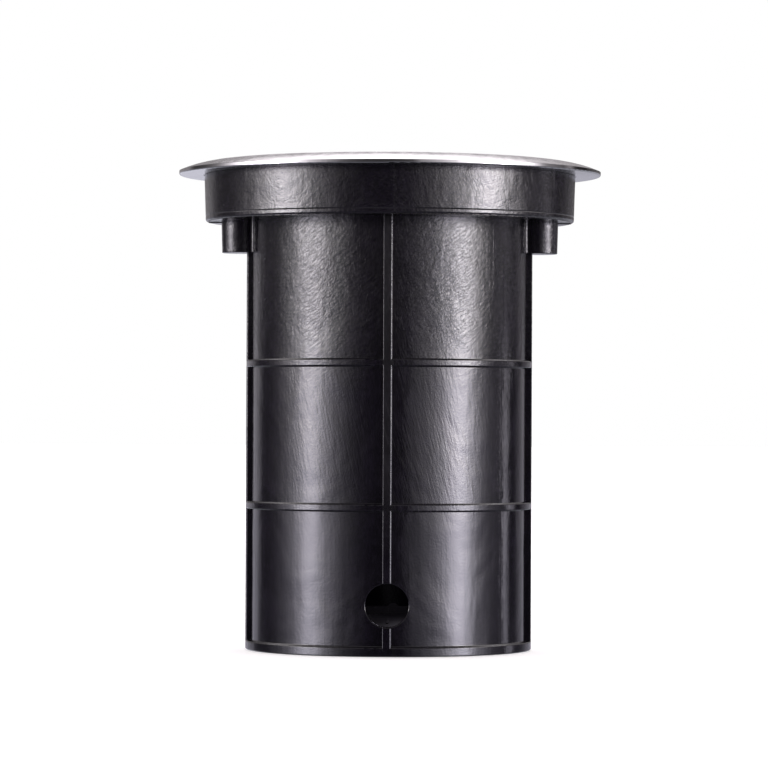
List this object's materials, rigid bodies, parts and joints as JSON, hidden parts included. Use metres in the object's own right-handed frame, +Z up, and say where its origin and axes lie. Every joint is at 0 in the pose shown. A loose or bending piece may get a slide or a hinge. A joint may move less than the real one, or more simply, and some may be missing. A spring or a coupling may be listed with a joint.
{
  "type": "in ground well light",
  "caption": "Recessed in ground well light: black moulded mounting sleeve with cable entry, and a lift-out lamp with domed steel trim ring, glass and tilting head.",
  "frame": {"origin": "centre of the sleeve's foot, on the plane that it stands on", "axes": "+Z up along the sleeve's axis; the cable entry faces -Y; the two trim screws lie along X"},
  "size_m": [0.18, 0.18, 0.2077],
  "materials": {
    "sleeve_plastic": "moulded black, glossy with fine scratches",
    "ring_steel": "turned and polished stainless steel",
    "screw_steel": "plain stainless steel",
    "insert_brass": "turned",
    "clear_glass": "toughened, polished",
    "silicone": "black silicone",
    "clamp_aluminium": "black anodised",
    "housing_aluminium": "black powder coat, fine texture",
    "plain_aluminium": "bare sheet",
    "driver_case": "white moulded case",
    "terminal_plastic": "natural polyamide",
    "gland_plastic": "black polyamide",
    "washer_plastic": "natural polyamide",
    "spring_steel": "phosphated spring steel",
    "head_aluminium": "black anodised",
    "board_white": "white solder mask on an aluminium core",
    "phosphor": "yellow phosphor on a white ceramic base",
    "reflector_aluminium": "polished and anodised, faint turning marks"
  },
  "bodies": {
    "sleeve": {"mounting_sleeve": "sleeve_plastic", "threaded_inserts": "insert_brass", "base_plate": "sleeve_plastic"},
    "luminaire": {"trim_ring": "ring_steel", "trim_screws": "screw_steel", "lens_glass": "clear_glass", "lens_gasket": "silicone", "glass_clamp_ring": "clamp_aluminium", "clamp_screws": "screw_steel", "lamp_housing": "housing_aluminium", "flange_gasket": "silicone", "gear_plate": "plain_aluminium", "gear_plate_screws": "screw_steel", "led_driver": "driver_case", "driver_screws": "screw_steel", "terminal_block": "terminal_plastic", "earth_screw": "insert_brass", "gland_body": "gland_plastic", "gland_washer": "silicone", "gland_seal": "silicone", "gland_nut": "gland_plastic", "gland_locknut": "gland_plastic", "retaining_ring": "spring_steel"},
    "gimbal": {"gimbal_ring": "head_aluminium"},
    "lamp_head": {"pivot_screws": "screw_steel", "friction_washers": "washer_plastic", "heat_sink": "head_aluminium", "led_board": "board_white", "board_screws": "screw_steel", "led_emitter": "phosphor", "reflector": "reflector_aluminium", "inner_lens": "clear_glass", "lens_bezel": "head_aluminium"}
  },
  "joints": [
    {"name": "luminaire_lift", "type": "slide", "parent": "sleeve", "child": "luminaire", "axis": [0, 0, 1], "range_m": [0, 0.15]},
    {"name": "gimbal_pan", "type": "hinge", "parent": "luminaire", "child": "gimbal", "pos_m": [0, 0, 0.15], "axis": [0, 0, 1], "range_deg": [-175, 175]},
    {"name": "lamp_tilt", "type": "hinge", "parent": "gimbal", "child": "lamp_head", "pos_m": [0, 0, 0.16], "axis": [1, 0, 0], "range_deg": [-20, 20]}
  ]
}
